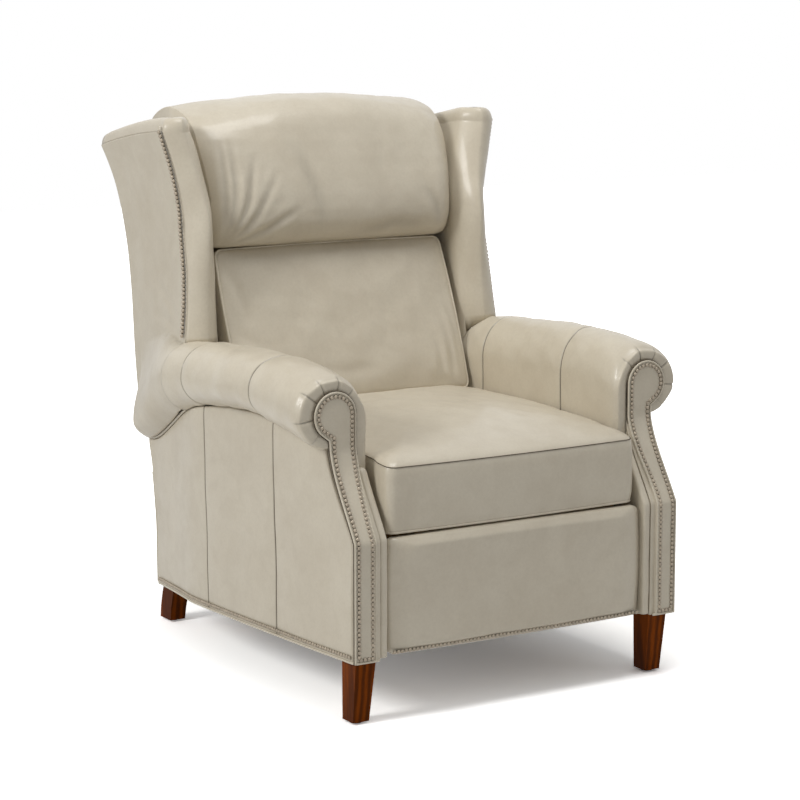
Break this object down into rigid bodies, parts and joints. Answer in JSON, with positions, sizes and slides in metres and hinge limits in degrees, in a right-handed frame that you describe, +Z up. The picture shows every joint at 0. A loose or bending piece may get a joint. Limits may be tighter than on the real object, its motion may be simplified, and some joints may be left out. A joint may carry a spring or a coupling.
{
  "type": "wingback recliner armchair",
  "caption": "Leather wing chair with rolled arms, nailed trim, tapered legs, a sliding seat, a folding leg rest and a back that reclines between the wings.",
  "frame": {"origin": "on the floor, at the middle of the chair's width and depth", "axes": "+Z up; the chair faces -Y; +X is to the right as seen from the front, which is the sitter's left"},
  "size_m": [0.856, 0.9934, 1.105],
  "materials": {
    "seat_leather": "soft grained leather",
    "side_leather": "soft grained leather over board",
    "board": "raw plywood",
    "hardwood": "raw hardwood",
    "leg_wood": "stained and lacquered wood",
    "plate_steel": "black enamel",
    "link_steel": "zinc plated",
    "spring_steel": "oiled spring wire",
    "deck_cloth": "woven deck cloth over pad",
    "glide": "matt"
  },
  "bodies": {
    "chair_frame": {"left_side_board": "board", "right_side_board": "board", "front_cross_rail": "hardwood", "rear_cross_rail": "hardwood", "left_wing_frame": "hardwood", "right_wing_frame": "hardwood", "left_arm_pad": "seat_leather", "right_arm_pad": "seat_leather", "left_rear_roll": "seat_leather", "right_rear_roll": "seat_leather", "left_outside_panel": "side_leather", "right_outside_panel": "side_leather", "left_front_panel": "side_leather", "right_front_panel": "side_leather", "left_front_wrap": "side_leather", "right_front_wrap": "side_leather", "left_wing_pad": "seat_leather", "right_wing_pad": "seat_leather", "left_wing_panel": "side_leather", "right_wing_panel": "side_leather", "lower_rear_panel": "side_leather", "left_front_leg": "leg_wood", "right_front_leg": "leg_wood", "left_rear_leg": "leg_wood", "right_rear_leg": "leg_wood", "leg_glides": "glide", "leg_bolts": "link_steel", "left_base_rail": "plate_steel", "right_base_rail": "plate_steel"},
    "seat_carriage": {"left_seat_plate": "plate_steel", "right_seat_plate": "plate_steel", "left_runner": "plate_steel", "right_runner": "plate_steel", "seat_frame": "hardwood", "seat_springs": "spring_steel", "seat_deck": "deck_cloth", "seat_cushion": "seat_leather", "back_hinge_pins": "link_steel"},
    "back": {"back_frame": "hardwood", "back_springs": "spring_steel", "left_back_bracket": "plate_steel", "right_back_bracket": "plate_steel", "lower_back_cushion": "seat_leather", "head_pillow": "seat_leather", "outside_back_panel": "side_leather"},
    "long_links": {"left_long_link": "link_steel", "right_long_link": "link_steel", "torque_tube": "link_steel", "long_link_pins": "link_steel"},
    "knee_links": {"left_knee_link": "link_steel", "right_knee_link": "link_steel", "knee_tube": "link_steel", "knee_pins": "link_steel"},
    "left_control": {"left_control_link": "link_steel"},
    "right_control": {"right_control_link": "link_steel"},
    "leg_rest": {"rest_board": "board", "rest_pad": "seat_leather", "left_rest_bracket": "plate_steel", "right_rest_bracket": "plate_steel", "bracket_pins": "link_steel"}
  },
  "joints": [
    {"name": "leg_rest_opening", "type": "hinge", "parent": "seat_carriage", "child": "long_links", "pos_m": [0, -0.34666, 0.285], "axis": [-1, 0, 0], "range_deg": [0, 70]},
    {"name": "seat_slide", "type": "slide", "parent": "chair_frame", "child": "seat_carriage", "axis": [0, -1, 0], "range_m": [0, 0.0601]},
    {"name": "knee_turn", "type": "hinge", "parent": "long_links", "child": "knee_links", "pos_m": [0, -0.40138, 0.13465], "axis": [1, 0, 0], "range_deg": [0, 139.7]},
    {"name": "rest_turn", "type": "hinge", "parent": "knee_links", "child": "leg_rest", "pos_m": [0, -0.41466, 0.274], "axis": [-1, 0, 0], "range_deg": [0, 151.7]},
    {"name": "left_control_turn", "type": "hinge", "parent": "long_links", "child": "left_control", "pos_m": [0, -0.43039, 0.14231], "axis": [1, 0, 0], "range_deg": [0, 142.2]},
    {"name": "right_control_turn", "type": "hinge", "parent": "long_links", "child": "right_control", "pos_m": [0, -0.43039, 0.14231], "axis": [1, 0, 0], "range_deg": [0, 142.2]},
    {"name": "back_recline", "type": "hinge", "parent": "seat_carriage", "child": "back", "pos_m": [0, 0.20334, 0.334], "axis": [-1, 0, 0], "range_deg": [0, 30]}
  ],
  "couplings": [
    {"joint": "seat_slide", "follows": "leg_rest_opening", "m_per_rad": 0.049111},
    {"joint": "knee_turn", "follows": "leg_rest_opening", "ratio": 1.9943},
    {"joint": "rest_turn", "follows": "leg_rest_opening", "ratio": 2.1657},
    {"joint": "left_control_turn", "follows": "leg_rest_opening", "ratio": 2.0302},
    {"joint": "right_control_turn", "follows": "leg_rest_opening", "ratio": 2.0302}
  ]
}
